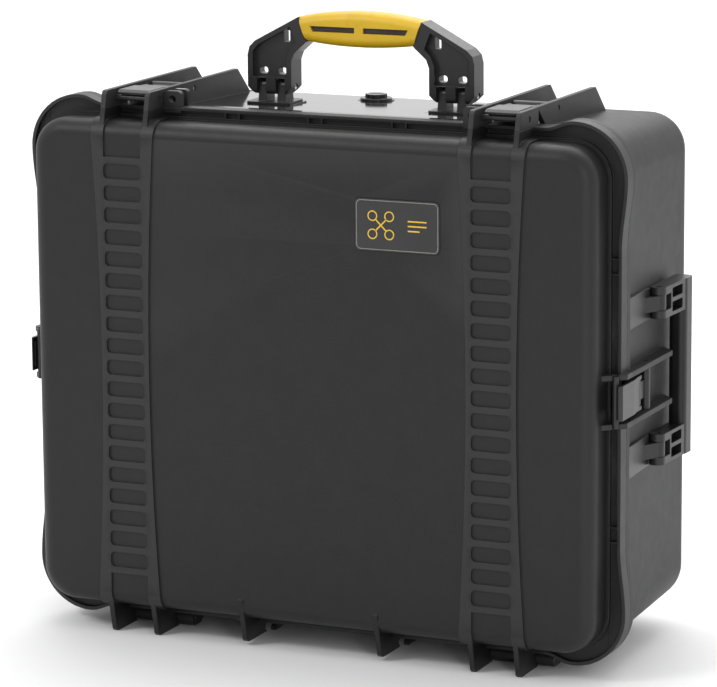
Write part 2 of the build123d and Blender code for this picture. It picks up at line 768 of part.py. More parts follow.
with BuildPart() as side_handle_right:
    for side in (-1, 1):
        with BuildSketch(arm_plane.offset(side * side_arm_z)):
            Circle(side_knuckle_radius)
            with Locations((side_arm_length / 2, 0)):
                Rectangle(side_arm_length, 2 * side_knuckle_radius)
        extrude(amount=side_arm_height / 2, both=True)
        with BuildSketch(arm_plane.offset(side * side_arm_z)):
            Rectangle(4 * side_knuckle_radius - 6, 3 * side_knuckle_radius)
        extrude(amount=side_lug_height / 2, both=True, mode=Mode.SUBTRACT)
    with BuildSketch(arm_plane.offset(-side_arm_z - side_arm_height / 2)):
        with Locations((side_arm_length, 0)):
            RectangleRounded(side_grip_depth, side_grip_width, 7)
    extrude(amount=2 * side_arm_z + side_arm_height)
    for side in (-1, 1):
        with BuildSketch(outer_face):
            with Locations((29, side * side_arm_z)):
                with GridLocations(0, 13.5, 1, 2):
                    RectangleRounded(26, 9.5, 1.5)
        extrude(amount=-9, mode=Mode.SUBTRACT)
    with BuildSketch(arm_plane):
        Circle(side_pin_radius + running_clearance)
    extrude(amount=side_arm_z + side_arm_height, both=True, mode=Mode.SUBTRACT)
side_handle_right.part.label = "side_handle_right"
export_step(side_handle_right.part, "parts/side_handle_right.step")

with BuildPart() as side_brackets_right:
    pad_front = body_front_y + body_flange_depth + 0.3
    pad_back = side_pivot_y - side_knuckle_radius - 1
    for side in (-1, 1):
        with BuildSketch(Plane.XY.offset(side_handle_z + side * side_arm_z)):
            with BuildLine():
                Polyline((body_wall_x(pad_front) + 0.02, pad_front), (body_wall_x(pad_back) + 0.02, pad_back),
                         (body_wall_x(pad_back) + 3.4, pad_back), (body_wall_x(pad_front) + 4, pad_front),
                         close=True)
            make_face()
        extrude(amount=side_arm_height / 2, both=True)
        with BuildSketch(Plane.XY.offset(side_handle_z + side * side_arm_z)):
            with BuildLine():
                Polyline((body_wall_x(pad_back - 14) + 0.5, pad_back - 14), (body_wall_x(0) + 0.6, side_pivot_y),
                         (side_pivot_x, side_pivot_y + 3), (side_pivot_x + 7.4, side_pivot_y),
                         (body_wall_x(pad_back) + 4, pad_back - 14), close=True)
            make_face()
            with Locations((side_pivot_x, side_pivot_y)):
                Circle(side_knuckle_radius - 0.6)
                Circle(side_pin_radius + running_clearance, mode=Mode.SUBTRACT)
        extrude(amount=side_lug_height / 2 - 0.3, both=True)
side_brackets_right.part.label = "side_brackets_right"
export_step(side_brackets_right.part, "parts/side_brackets_right.step")

with BuildPart() as side_pins_right:
    for side in (-1, 1):
        with BuildSketch(lug_axis.offset(side * side_arm_z)):
            Circle(side_pin_radius)
        extrude(amount=side_arm_height / 2 - 1, both=True)
side_pins_right.part.label = "side_pins_right"
export_step(side_pins_right.part, "parts/side_pins_right.step")

for right_part, name in ((side_handle_right.part, "side_handle_left"),
                         (side_brackets_right.part, "side_brackets_left"),
                         (side_pins_right.part, "side_pins_left")):
    with BuildPart() as left_part:
        mirror(right_part, about=Plane.YZ)
    left_part.part.label = name
    export_step(left_part.part, "parts/" + name + ".step")

# ---- pressure valve -----------------------------------------------------------------------------
valve_plane = Plane(origin=(valve_x, valve_y, valve_seat_z), x_dir=(1, 0, 0), z_dir=(0, 0, 1))
with BuildPart() as valve_body:
    with BuildSketch(valve_plane):
        Circle(valve_radius)
    extrude(amount=2.2)
    chamfer(valve_body.faces().sort_by(Axis.Z)[-1].edges(), 0.8)
    with BuildSketch(valve_plane):
        Circle(6.9)
    extrude(amount=-13)
    with BuildSketch(valve_plane.offset(2.2)):
        Circle(3.1)
    extrude(amount=-12, mode=Mode.SUBTRACT)
valve_body.part.label = "valve_body"
export_step(valve_body.part, "parts/valve_body.step")

with BuildPart() as valve_knob:
    with BuildSketch(valve_plane.offset(2.5)):
        Circle(knob_radius)
        with PolarLocations(knob_radius + 1.2, 16):
            Circle(2, mode=Mode.SUBTRACT)
    extrude(amount=3.3)
    with BuildSketch(valve_plane.offset(5.8)):
        RectangleRounded(16, 3, 1.2, mode=Mode.ADD)
    extrude(amount=-1.2, mode=Mode.SUBTRACT)
    with BuildSketch(valve_plane.offset(2.6)):
        Circle(3)
    extrude(amount=-10)
valve_knob.part.label = "valve_knob"
export_step(valve_knob.part, "parts/valve_knob.step")

with BuildPart() as valve_nut:
    with BuildSketch(valve_plane.offset(-9.6)):
        RegularPolygon(11, 6)
        Circle(7, mode=Mode.SUBTRACT)
    extrude(amount=-3)
valve_nut.part.label = "valve_nut"
export_step(valve_nut.part, "parts/valve_nut.step")

# ---- foam ---------------------------------------------------------------------------------------
# Pockets: centre across, centre up from the middle, width, height, corner, depth
foam_front_y = body_front_y + 1
drone_pocket = dict(x=-105, z=15, depth=125)
controller_pocket = dict(x=165, z=110, width=200, height=150, corner=28, depth=95)
battery_pocket = dict(x=165, z=-42, width=46, height=104, corner=8, depth=85, pitch=56, count=4)
charger_pocket = dict(x=165, z=-165, width=214, height=86, corner=16, depth=75)
spares_pocket = dict(x=-105, z=-192, width=250, height=56, corner=16, depth=60)


def pocket(spec):
    """Rounded pocket cut back from the face of the base foam."""
    with BuildPart() as cut:
        with BuildSketch(facing_front(foam_front_y)):
            with Locations((spec["x"], spec["z"])):
                RectangleRounded(spec["width"], spec["height"], spec["corner"])
        extrude(amount=-spec["depth"])
    return cut.part


with BuildPart() as foam_base:
    add(body_hollow(foam_clearance, foam_front_y))
    with BuildSketch(facing_front(foam_front_y)):
        with Locations((drone_pocket["x"], drone_pocket["z"])):
            RectangleRounded(120, 250, 40)
            RectangleRounded(270, 90, 40)
            with PolarLocations(118, 4, 45):
                Circle(46)
            with PolarLocations(60, 4, 45):
                RectangleRounded(130, 56, 20)
    extrude(amount=-drone_pocket["depth"], mode=Mode.SUBTRACT)
    add(pocket(controller_pocket), mode=Mode.SUBTRACT)
    add(pocket(charger_pocket), mode=Mode.SUBTRACT)
    add(pocket(spares_pocket), mode=Mode.SUBTRACT)
    with BuildSketch(facing_front(foam_front_y)):
        with Locations((battery_pocket["x"], battery_pocket["z"])):
            with GridLocations(battery_pocket["pitch"], 0, battery_pocket["count"], 1):
                RectangleRounded(battery_pocket["width"], battery_pocket["height"], battery_pocket["corner"])
    extrude(amount=-battery_pocket["depth"], mode=Mode.SUBTRACT)
    # Room for the valve's tail and nut under the top wall
    with BuildSketch(Plane.XY.offset(valve_seat_z - 16)):
        with Locations((valve_x, valve_y)):
            Circle(16)
    extrude(amount=20, mode=Mode.SUBTRACT)
foam_base.part.label = "foam_base"
export_step(foam_base.part, "parts/foam_base.step")

with BuildPart() as foam_lid:
    with BuildSketch(facing_front(lid_face_y + lid_wall + foam_clearance + foam_lid_depth)):
        inset = lid_wall + foam_clearance + 0.4
        RectangleRounded(lid_width - 2 * inset, lid_height - 2 * inset, lid_corner - inset)
    extrude(amount=foam_lid_depth)
    fillet(foam_lid.faces().sort_by(Axis.Y)[0].edges(), lid_edge - lid_wall)
foam_lid.part.label = "foam_lid"
export_step(foam_lid.part, "parts/foam_lid.step")
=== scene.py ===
import math

import bmesh
import bpy
from mathutils import Matrix, Vector, noise


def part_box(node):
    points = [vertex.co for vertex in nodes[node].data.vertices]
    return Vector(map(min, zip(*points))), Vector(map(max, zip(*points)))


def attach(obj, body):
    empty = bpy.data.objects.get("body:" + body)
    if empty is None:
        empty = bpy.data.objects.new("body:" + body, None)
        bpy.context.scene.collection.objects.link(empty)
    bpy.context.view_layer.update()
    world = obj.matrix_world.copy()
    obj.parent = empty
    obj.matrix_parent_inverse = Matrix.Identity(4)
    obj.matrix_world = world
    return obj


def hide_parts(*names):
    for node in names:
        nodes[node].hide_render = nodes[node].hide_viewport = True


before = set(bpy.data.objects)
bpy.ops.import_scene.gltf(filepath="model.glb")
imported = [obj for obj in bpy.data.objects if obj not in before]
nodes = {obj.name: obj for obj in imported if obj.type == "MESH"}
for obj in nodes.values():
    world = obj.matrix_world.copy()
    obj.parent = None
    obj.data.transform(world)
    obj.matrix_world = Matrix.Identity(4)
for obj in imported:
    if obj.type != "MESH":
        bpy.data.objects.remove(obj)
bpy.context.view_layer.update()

# ---- driving values, metres unless a comment says otherwise -------------------------------------
CAMERA_PLACE = (1.5381, -3.4180, 1.0368)
CAMERA_YAW, CAMERA_PITCH, CAMERA_ROLL = 24.291, 11.376, -0.426  # degrees
CAMERA_LENS, SENSOR_WIDTH = 195.7, 36.0  # millimetres
CAMERA_REACH = 50.0

SURROUND_FRONT, SURROUND_BACK = 0.55, 1.25  # strength of the surround
FLOOR_HALF = 12.0
LIGHTS = (
    # name, place, target, size, watts
    ("overhead", (-0.2, 0.9, 2.6), (0, 0.05, 0.3), (2.4, 1.8), 30),
    ("far_floor", (-0.6, 4.2, 2.6), (-1.2, 4.2, 0), (4.0, 3.0), 70),
    ("key_left", (-1.5, -2.0, 2.3), (0, -0.1, 0.28), (0.7, 0.7), 26),
    ("rim_right", (1.7, -2.2, 1.0), (0.28, -0.1, 0.28), (0.35, 1.6), 12),
)

# Moulded plastic's darkest and lightest tone
INK, COAL = (0.0080, 0.0080, 0.0084), (0.0100, 0.0100, 0.0105)

# Polished roof of the body: half width, lowest height and least upward share of its normal
ROOF_HALF, ROOF_FLOOR, ROOF_FACING = 0.163, 0.5, 0.985
ROOF_ROUGHNESS, ROOF_GRAIN = 0.1, 0.04

# Badge plate's face and its raised print
BADGE_LOW, BADGE_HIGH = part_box("badge_plate")
BADGE_SIZE = BADGE_HIGH - BADGE_LOW
BADGE_CENTRE = Vector((BADGE_LOW.x + BADGE_SIZE.x / 2, BADGE_LOW.y, BADGE_LOW.z + BADGE_SIZE.z / 2))
BADGE_CORNER, BORDER_INSET, BORDER_WIDTH = 0.0048, 0.0012, 0.0008
PRINT_RISE, PRINT_ROOT, PRINT_STEP = 0.0003, 0.0002, 0.00002
MARK_X = -0.0165
ROTOR_REACH, ROTOR_RADIUS, ROTOR_LINE, ROTOR_SIDES = 0.0086, 0.0050, 0.0011, 32
ARM_HALF, ARM_OVERLAP = 0.6, 0.62  # shares of the rotor ring's line and radius
BAR_LEFT, BAR_TOP, BAR_PITCH, BAR_HEIGHT = 0.0110, 0.0046, 0.0046, 0.0013
BAR_WIDTHS = (0.0190, 0.0190, 0.0120)

# Foam: the lid's wave, and the base's pockets, whose heights count from the block's middle
EGG_PITCH, EGG_RISE, EGG_MARGIN, EGG_TOP = 0.044, 0.015, 0.018, 0.0012
EGG_EDGE_DROP = 0.002
FOAM_BACK_GAP = 0.0003
BLOCK_TOP, POCKET_LIFT = 0.0006, 0.001
DRONE_X, DRONE_RISE, DRONE_DEPTH = -0.105, 0.015, 0.125
DRONE_BODY = (0.120, 0.250, 0.040)
DRONE_CROSS = (0.270, 0.090, 0.040)
DRONE_ARM, DRONE_ARM_REACH = (0.130, 0.056, 0.020), 0.060
ROTOR_ROUND, ROTOR_ROUND_REACH = 0.046, 0.118
POCKETS = [
    # middle x, rise over the middle, width, height, corner, depth
    (0.165, 0.110, 0.200, 0.150, 0.028, 0.095),
    (0.165, -0.165, 0.214, 0.086, 0.016, 0.075),
    (-0.105, -0.192, 0.250, 0.056, 0.016, 0.060),
]
BATTERY_X, BATTERY_PITCH, BATTERY_COUNT = 0.165, 0.056, 4
for place in range(BATTERY_COUNT):
    battery_x = BATTERY_X + (place - (BATTERY_COUNT - 1) / 2) * BATTERY_PITCH
    POCKETS.append((battery_x, -0.042, 0.046, 0.104, 0.008, 0.085))
CORNER_SIGNS = ((1, 1), (-1, 1), (-1, -1), (1, -1))


# ---- camera, lights and floor -------------------------------------------------------------------
def make_camera():
    """Long lens from the front right, a little above the case."""
    data = bpy.data.cameras.new("camera")
    data.sensor_width = SENSOR_WIDTH
    data.lens = CAMERA_LENS
    data.clip_end = CAMERA_REACH
    camera = bpy.data.objects.new("camera", data)
    yaw, pitch, roll = (math.radians(turned) for turned in (CAMERA_YAW, CAMERA_PITCH, CAMERA_ROLL))
    turn = Matrix.Rotation(yaw, 4, "Z") @ Matrix.Rotation(math.pi / 2 - pitch, 4, "X")
    turn = turn @ Matrix.Rotation(roll, 4, "Z")
    camera.matrix_world = Matrix.Translation(CAMERA_PLACE) @ turn
    bpy.context.scene.collection.objects.link(camera)
    bpy.context.scene.camera = camera


def area_light(name, place, target, size, watts):
    """A soft rectangular light aimed at a point."""
    data = bpy.data.lights.new(name, "AREA")
    data.shape = "RECTANGLE"
    data.size, data.size_y = size
    data.energy = watts
    light = bpy.data.objects.new(name, data)
    place = Vector(place)
    light.matrix_world = Matrix.Translation(place) @ (
        (Vector(target) - place).to_track_quat("-Z", "Y").to_matrix().to_4x4())
    bpy.context.scene.collection.objects.link(light)


def make_studio():
    """Pale seamless floor, a white surround that is brighter behind the case, and soft boxes."""
    scene = bpy.context.scene
    scene.view_settings.view_transform = "Standard"
    world = bpy.data.worlds.new("studio")
    scene.world = world
    world.use_nodes = True
    tree = world.node_tree
    background = tree.nodes["Background"]
    direction = tree.nodes.new("ShaderNodeTexCoord").outputs["Generated"]
    split = tree.nodes.new("ShaderNodeSeparateXYZ")
    tree.links.new(direction, split.inputs["Vector"])
    depth = tree.nodes.new("ShaderNodeMapRange")
    depth.inputs["From Min"].default_value = -1.0
    depth.inputs["To Min"].default_value = SURROUND_FRONT
    depth.inputs["To Max"].default_value = SURROUND_BACK
    tree.links.new(split.outputs["Y"], depth.inputs["Value"])
    tree.links.new(depth.outputs["Result"], background.inputs["Strength"])
    background.inputs["Color"].default_value = (1, 1, 1, 1)
    for light in LIGHTS:
        area_light(*light)
    mesh = bpy.data.meshes.new("floor")
    half = FLOOR_HALF
    mesh.from_pydata([(-half, -half, 0), (half, -half, 0), (half, half, 0), (-half, half, 0)], [],
                     [(0, 1, 2, 3)])
    floor = bpy.data.objects.new("floor", mesh)
    scene.collection.objects.link(floor)
    material = bpy.data.materials.new("floor_paint")
    material.use_nodes = True
    shader = material.node_tree.nodes["Principled BSDF"]
    shader.inputs["Base Color"].default_value = (0.93, 0.93, 0.93, 1)
    shader.inputs["Roughness"].default_value = 0.7
    shader.inputs["Specular IOR Level"].default_value = 0.2
    mesh.materials.append(material)


# ---- materials ----------------------------------------------------------------------------------
class Paint:
    """Small helper that wires a procedural Principled material in object space."""

    def __init__(self, name, roughness, specular=0.5):
        self.material = bpy.data.materials.new(name)
        self.material.use_nodes = True
        self.tree = self.material.node_tree
        self.shader = self.tree.nodes["Principled BSDF"]
        self.shader.inputs["Roughness"].default_value = roughness
        self.shader.inputs["Specular IOR Level"].default_value = specular
        self.place = self.tree.nodes.new("ShaderNodeTexCoord").outputs["Object"]

    def node(self, kind, **settings):
        made = self.tree.nodes.new(kind)
        for key, value in settings.items():
            setattr(made, key, value)
        return made

    def link(self, source, target):
        self.tree.links.new(source, target)

    def noise(self, scale, detail=2.0, rough=0.5):
        """Noise factor at a scale in cells per metre."""
        made = self.node("ShaderNodeTexNoise")
        made.inputs["Scale"].default_value = scale
        made.inputs["Detail"].default_value = detail
        made.inputs["Roughness"].default_value = rough
        self.link(self.place, made.inputs["Vector"])
        return made.outputs["Fac"]

    def cells(self, scale, feature="F1"):
        """Cell pattern at a scale in cells per metre."""
        made = self.node("ShaderNodeTexVoronoi", feature=feature)
        made.inputs["Scale"].default_value = scale
        self.link(self.place, made.inputs["Vector"])
        return made.outputs["Distance"]

    def ramp(self, factor, low, high, start=0.0, end=1.0):
        """Maps a factor from start..end to low..high."""
        made = self.node("ShaderNodeMapRange")
        made.inputs["From Min"].default_value = start
        made.inputs["From Max"].default_value = end
        made.inputs["To Min"].default_value = low
        made.inputs["To Max"].default_value = high
        self.link(factor, made.inputs["Value"])
        return made.outputs["Result"]

    def vary(self, low, high, *texture):
        """Noise that spans low..high over the range that noise mostly keeps to."""
        return self.ramp(self.noise(*texture), low, high, 0.3, 0.7)

    def mix(self, factor, first, second):
        """Colour between two by a factor."""
        made = self.node("ShaderNodeMix", data_type="RGBA")
        self.link(factor, made.inputs["Factor"])
        for socket, colour in ((made.inputs["A"], first), (made.inputs["B"], second)):
            if isinstance(colour, tuple):
                socket.default_value = (*colour, 1)
            else:
                self.link(colour, socket)
        return made.outputs["Result"]

    def math(self, operation, first, second):
        made = self.node("ShaderNodeMath", operation=operation)
        for socket, value in zip(made.inputs, (first, second)):
            if isinstance(value, (int, float)):
                socket.default_value = value
            else:
                self.link(value, socket)
        return made.outputs["Value"]

    def edges(self):
        """High on convex edges, where pointiness passes its flat value of 0.5."""
        geometry = self.node("ShaderNodeNewGeometry")
        return self.ramp(geometry.outputs["Pointiness"], 0, 1, 0.508, 0.56)

    def bump(self, height, distance, under=None):
        """Bump of a real depth, over another normal if one is given."""
        made = self.node("ShaderNodeBump")
        made.inputs["Strength"].default_value = 1.0
        made.inputs["Distance"].default_value = distance
        self.link(height, made.inputs["Height"])
        if under is not None:
            self.link(under, made.inputs["Normal"])
        return made.outputs["Normal"]

    def rounded(self, radius):
        """Normal that rounds a moulded edge a little."""
        made = self.node("ShaderNodeBevel", samples=4)
        made.inputs["Radius"].default_value = radius
        return made.outputs["Normal"]

    def finish(self, colour=None, roughness=None, normal=None):
        for name, value in (("Base Color", colour), ("Roughness", roughness), ("Normal", normal)):
            if value is not None:
                self.link(value, self.shader.inputs[name])
        return self.material


def moulded_plastic(name, roughness, grain_scale, grain_depth, edge, smooth_top=False, specular=0.36):
    """Black moulded plastic: pebble grain, faint tone variation and rubbed edges."""
    paint = Paint(name, roughness, specular)
    tone = paint.vary(0, 1, 55, 4, 0.6)
    worn = paint.edges()
    speckle = paint.ramp(paint.noise(900, 2), 0, 0.35, 0.5, 0.8)
    colour = paint.mix(tone, INK, COAL)
    colour = paint.mix(paint.math("MULTIPLY", worn, 0.3), colour, (0.05, 0.05, 0.052))
    colour = paint.mix(paint.math("MULTIPLY", speckle, 0.3), colour, (0.035, 0.035, 0.036))
    rough = paint.vary(roughness - 0.02, roughness + 0.02, 70, 3)
    pebble = paint.math("MULTIPLY", paint.noise(grain_scale * 1.7, 2), 0.6)
    grain = paint.math("ADD", paint.cells(grain_scale, "SMOOTH_F1"), pebble)
    if smooth_top:
        # The roof of the body between the latches is polished, not grained
        geometry = paint.node("ShaderNodeNewGeometry")
        facing = paint.node("ShaderNodeSeparateXYZ")
        paint.link(geometry.outputs["Normal"], facing.inputs["Vector"])
        spot = paint.node("ShaderNodeSeparateXYZ")
        paint.link(paint.place, spot.inputs["Vector"])
        across = paint.math("ABSOLUTE", spot.outputs["X"], 0)
        inside = paint.math("LESS_THAN", across, ROOF_HALF)
        roof = paint.math("GREATER_THAN", facing.outputs["Z"], ROOF_FACING)
        high = paint.math("GREATER_THAN", spot.outputs["Z"], ROOF_FLOOR)
        mask = paint.math("MULTIPLY", paint.math("MULTIPLY", inside, roof), high)
        blend = paint.node("ShaderNodeMix", data_type="FLOAT")
        paint.link(mask, blend.inputs["Factor"])
        paint.link(rough, blend.inputs["A"])
        blend.inputs["B"].default_value = ROOF_ROUGHNESS
        rough = blend.outputs["Result"]
        grain = paint.math("MULTIPLY", grain, paint.ramp(mask, 1, ROOF_GRAIN))
    return paint.finish(colour, rough, paint.bump(grain, grain_depth, paint.rounded(edge)))


def grip_rubber():
    """Yellow grip, a little grimy from hands."""
    paint = Paint("grip_yellow", 0.42)
    tone = paint.vary(0, 1, 14, 3)
    colour = paint.mix(tone, (0.60, 0.375, 0.006), (0.68, 0.43, 0.009))
    grime = paint.ramp(paint.noise(60, 4, 0.6), 0, 0.35, 0.55, 0.85)
    colour = paint.mix(grime, colour, (0.47, 0.28, 0.010))
    rough = paint.vary(0.36, 0.50, 120, 3)
    return paint.finish(colour, rough, paint.bump(paint.noise(2600, 2), 0.00006))


def inlay_rubber():
    """Dark brown inlays of the grip."""
    paint = Paint("inlay_brown", 0.6)
    tone = paint.vary(0, 1, 90, 3)
    colour = paint.mix(tone, (0.018, 0.012, 0.010), (0.034, 0.023, 0.018))
    rough = paint.vary(0.5, 0.7, 200, 2)
    return paint.finish(colour, rough, paint.bump(paint.noise(1500, 2), 0.00008))


def steel():
    """Drawn steel of the hinge and handle pins."""
    paint = Paint("pin_steel", 0.32)
    paint.shader.inputs["Metallic"].default_value = 1.0
    tone = paint.vary(0, 1, 300, 3)
    colour = paint.mix(tone, (0.36, 0.36, 0.37), (0.52, 0.52, 0.53))
    rough = paint.vary(0.24, 0.42, 900, 2)
    return paint.finish(colour, rough, paint.bump(paint.noise(1800, 2), 0.00003))


def cut_foam():
    """Black cut foam with open pores, painted shade in the pore pits and a soft sheen."""
    paint = Paint("foam_black", 0.95, 0.2)
    paint.shader.inputs["Sheen Weight"].default_value = 0.25
    paint.shader.inputs["Sheen Roughness"].default_value = 0.5
    pores_and_pit_shade = paint.ramp(paint.cells(900), 0, 1, 0.1, 0.75)
    tone = paint.vary(0, 1, 16, 4)
    colour = paint.mix(tone, (0.016, 0.016, 0.018), (0.030, 0.030, 0.033))
    # Painted shade: the colour darkens in the pore pits, the hollows of the bump.
    colour = paint.mix(paint.ramp(pores_and_pit_shade, 0.5, 0), colour, (0.008, 0.008, 0.009))
    height = paint.math("ADD", pores_and_pit_shade, paint.math("MULTIPLY", paint.noise(220, 3), 0.8))
    return paint.finish(colour, None, paint.bump(height, 0.0007, paint.rounded(0.002)))


def seal_rubber():
    """Black seal between body and lid."""
    paint = Paint("seal_rubber", 0.5)
    tone = paint.vary(0, 1, 70, 3)
    colour = paint.mix(tone, (0.014, 0.014, 0.015), (0.026, 0.026, 0.027))
    rough = paint.vary(0.42, 0.6, 200, 2)
    return paint.finish(colour, rough, paint.bump(paint.noise(1500, 2), 0.00005))


def badge_plastic():
    """Charcoal plate under the badge's print."""
    paint = Paint("badge_charcoal", 0.34)
    tone = paint.vary(0, 1, 35, 3)
    colour = paint.mix(tone, (0.018, 0.0175, 0.018), (0.023, 0.0225, 0.023))
    rough = paint.vary(0.30, 0.42, 150, 3)
    return paint.finish(colour, rough, paint.bump(paint.noise(3200, 2), 0.00003))


def border_print():
    """Pale line round the badge."""
    paint = Paint("badge_border", 0.4)
    tone = paint.vary(0, 1, 300, 3)
    colour = paint.mix(tone, (0.16, 0.155, 0.14), (0.21, 0.205, 0.19))
    return paint.finish(colour, None, paint.bump(paint.noise(3000, 2), 0.00002))


def gold_print():
    """Gold marks of the badge."""
    paint = Paint("badge_gold", 0.38)
    tone = paint.vary(0, 1, 400, 3)
    colour = paint.mix(tone, (0.62, 0.38, 0.03), (0.75, 0.49, 0.05))
    return paint.finish(colour, None, paint.bump(paint.noise(3000, 2), 0.00002))


# name, roughness, grain cells per metre, grain depth, edge radius
SHELL = moulded_plastic("shell_plastic", 0.46, 1150, 0.00012, 0.0013)
BODY = moulded_plastic("body_plastic", 0.5, 1150, 0.00008, 0.0011, smooth_top=True, specular=0.3)
LATCH = moulded_plastic("latch_plastic", 0.3, 2200, 0.00004, 0.0006)
HANDLE = moulded_plastic("handle_plastic", 0.34, 1900, 0.00005, 0.0008)
GLOSS = moulded_plastic("valve_plastic", 0.22, 2600, 0.00002, 0.0004)
GRIP = grip_rubber()
INLAY = inlay_rubber()
STEEL = steel()
SEAL = seal_rubber()
BADGE = badge_plastic()
GOLD = gold_print()
BORDER = border_print()
FOAM = cut_foam()


def paint_node(name, material):
    """Gives a CAD node one material."""
    mesh = nodes[name].data
    mesh.materials.clear()
    mesh.materials.append(material)


def paint_nodes():
    """Chooses each CAD node's material by its name."""
    for name in nodes:
        if name.startswith("lid_"):
            paint_node(name, SHELL)
        elif name == "body_shell":
            paint_node(name, BODY)
        elif "pin" in name:
            paint_node(name, STEEL)
        elif name.startswith(("latch", "catch")):
            paint_node(name, LATCH)
        elif name == "handle_grip":
            paint_node(name, GRIP)
        elif name.startswith(("handle", "side")):
            paint_node(name, HANDLE)
        elif name.startswith("valve"):
            paint_node(name, GLOSS)
        elif name == "badge_plate":
            paint_node(name, BADGE)
        elif name == "grip_inlays":
            paint_node(name, INLAY)
        elif name == "body_seal":
            paint_node(name, SEAL)
        else:
            paint_node(name, FOAM)


# ---- pieces -------------------------------------------------------------------------------------
def new_piece(name, points, faces, material, body, smooth=True):
    """Mesh object that rides on a body and takes its finish from a slot."""
    mesh = bpy.data.meshes.new(name)
    mesh.from_pydata(points, [], faces)
    mesh.validate()
    shaped = bmesh.new()
    shaped.from_mesh(mesh)
    bmesh.ops.recalc_face_normals(shaped, faces=shaped.faces)
    shaped.to_mesh(mesh)
    shaped.free()
    mesh.polygons.foreach_set("use_smooth", [smooth] * len(mesh.polygons))
    mesh.materials.append(material)
    piece = bpy.data.objects.new(name, mesh)
    bpy.context.scene.collection.objects.link(piece)
    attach(piece, body)
    return piece


def corner_disc(along, across):
    """Maps the unit square's corner to a quarter disc without pinching."""
    return along * math.sqrt(1 - across * across / 2), across * math.sqrt(1 - along * along / 2)


def rounded_spot(fx, fz, half_x, half_z, radius):
    """Point of a rounded rectangle from fractions -1..1 of its plain rectangle."""
    x, z = fx * half_x, fz * half_z
    over_x = (abs(x) - half_x + radius) / radius
    over_z = (abs(z) - half_z + radius) / radius
    if over_x > 0 and over_z > 0:
        over_x, over_z = corner_disc(over_x, over_z)
        x = math.copysign(half_x - radius + over_x * radius, x)
        z = math.copysign(half_z - radius + over_z * radius, z)
    return x, z


def foam_block(name, node, body, front, back, counts, radius, layers, relief):
    """Closed foam block from front (y) to back (y).

    relief gives a point's place and depth behind the front; layers are (inset, depth) rings.
    """
    low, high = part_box(node)
    middle, half = (low + high) / 2, (high - low) / 2
    columns, rows = counts
    inward = math.copysign(1, back - front)
    points, faces = [], []

    def grid(inset, shape):
        start = len(points)
        for row in range(rows + 1):
            for column in range(columns + 1):
                x, z = rounded_spot(2 * column / columns - 1, 2 * row / rows - 1, half.x - inset,
                                    half.z - inset, radius)
                x, z, depth = shape(x + middle.x, z + middle.z)
                points.append((x, front + inward * depth, z))
        for row in range(rows):
            for column in range(columns):
                first = start + row * (columns + 1) + column
                faces.append((first, first + 1, first + columns + 2, first + columns + 1))
        line = [start + column for column in range(columns + 1)]
        line += [start + row * (columns + 1) + columns for row in range(1, rows + 1)]
        line += [start + rows * (columns + 1) + column for column in range(columns - 1, -1, -1)]
        line += [start + row * (columns + 1) for row in range(rows - 1, 0, -1)]
        return line

    reach = abs(back - front)
    rings = [grid(layers[0][0], relief)]
    for inset, depth in layers[1:-1]:
        start = len(points)
        for index in rings[0]:
            x, _, z = points[index]
            points.append((middle.x + (x - middle.x) * (half.x - inset) / (half.x - layers[0][0]),
                           front + inward * depth,
                           middle.z + (z - middle.z) * (half.z - inset) / (half.z - layers[0][0])))
        rings.append(list(range(start, len(points))))
    rings.append(grid(layers[-1][0], lambda x, z: (x, z, reach - FOAM_BACK_GAP)))
    for lower, upper in zip(rings, rings[1:]):
        for index in range(len(lower)):
            after = (index + 1) % len(lower)
            faces.append((lower[index], lower[after], upper[after], upper[index]))
    foam = new_piece(name, points, faces, FOAM, body, smooth=False)
    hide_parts(node)


def ripple(x, z, height, scale, seed):
    """Slight unevenness of a cut foam face."""
    return height * noise.noise(Vector((x * scale, z * scale, seed)))


def make_lid_foam():
    """Convoluted foam sheet that fills the lid, rounded where it meets the lid's face."""
    low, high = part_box("foam_lid")
    middle, half = (low + high) / 2, (high - low) / 2

    def crown(x, z):
        across, along = x - middle.x, z - middle.z
        wave = math.cos(math.tau * across / EGG_PITCH) * math.cos(math.tau * along / EGG_PITCH)
        edge = min(1.0, min(half.x - abs(across), half.z - abs(along)) / EGG_MARGIN)
        drop = EGG_RISE / 2 * (1 - wave * edge) + EGG_EDGE_DROP * (1 - edge)
        return x, z, EGG_TOP + drop + ripple(x, z, 0.0006, 60, 3.0)

    layers = ((0.0022, 0), (0.0010, 0.0150), (0.0010, 0.0300), (0.0030, 0.0380), (0.0110, 0))
    foam_block("lid_foam_sheet", "foam_lid", "lid", high.y, low.y, counts=(184, 152), radius=0.026,
               layers=layers, relief=crown)


def box_distance(x, z, width, height, corner):
    """Signed distance to a rounded rectangle about the origin."""
    over_x, over_z = abs(x) - width / 2 + corner, abs(z) - height / 2 + corner
    outside = math.hypot(max(over_x, 0), max(over_z, 0))
    return outside + min(max(over_x, over_z), 0) - corner


def drone_distance(x, z):
    """Signed distance to the drone's pocket: a cross, four arms and four rotor rounds."""
    x, z = x - DRONE_X, z - DRONE_RISE
    near = min(box_distance(x, z, *DRONE_BODY), box_distance(x, z, *DRONE_CROSS))
    diagonal = math.sqrt(0.5)
    for sx, sz in CORNER_SIGNS:
        along, across = (sx * x + sz * z) * diagonal, (sx * z - sz * x) * diagonal
        near = min(near, math.hypot(along - ROTOR_ROUND_REACH, across) - ROTOR_ROUND,
                   box_distance(along - DRONE_ARM_REACH, across, *DRONE_ARM))
    return near


def pocket_at(x, z):
    """Signed distance to the nearest pocket's wall and its depth; z is over the block's middle."""
    best = (drone_distance(x, z), DRONE_DEPTH)
    for centre_x, rise, width, height, corner, depth in POCKETS:
        away = box_distance(x - centre_x, z - rise, width, height, corner)
        if away < best[0]:
            best = (away, depth)
    return best


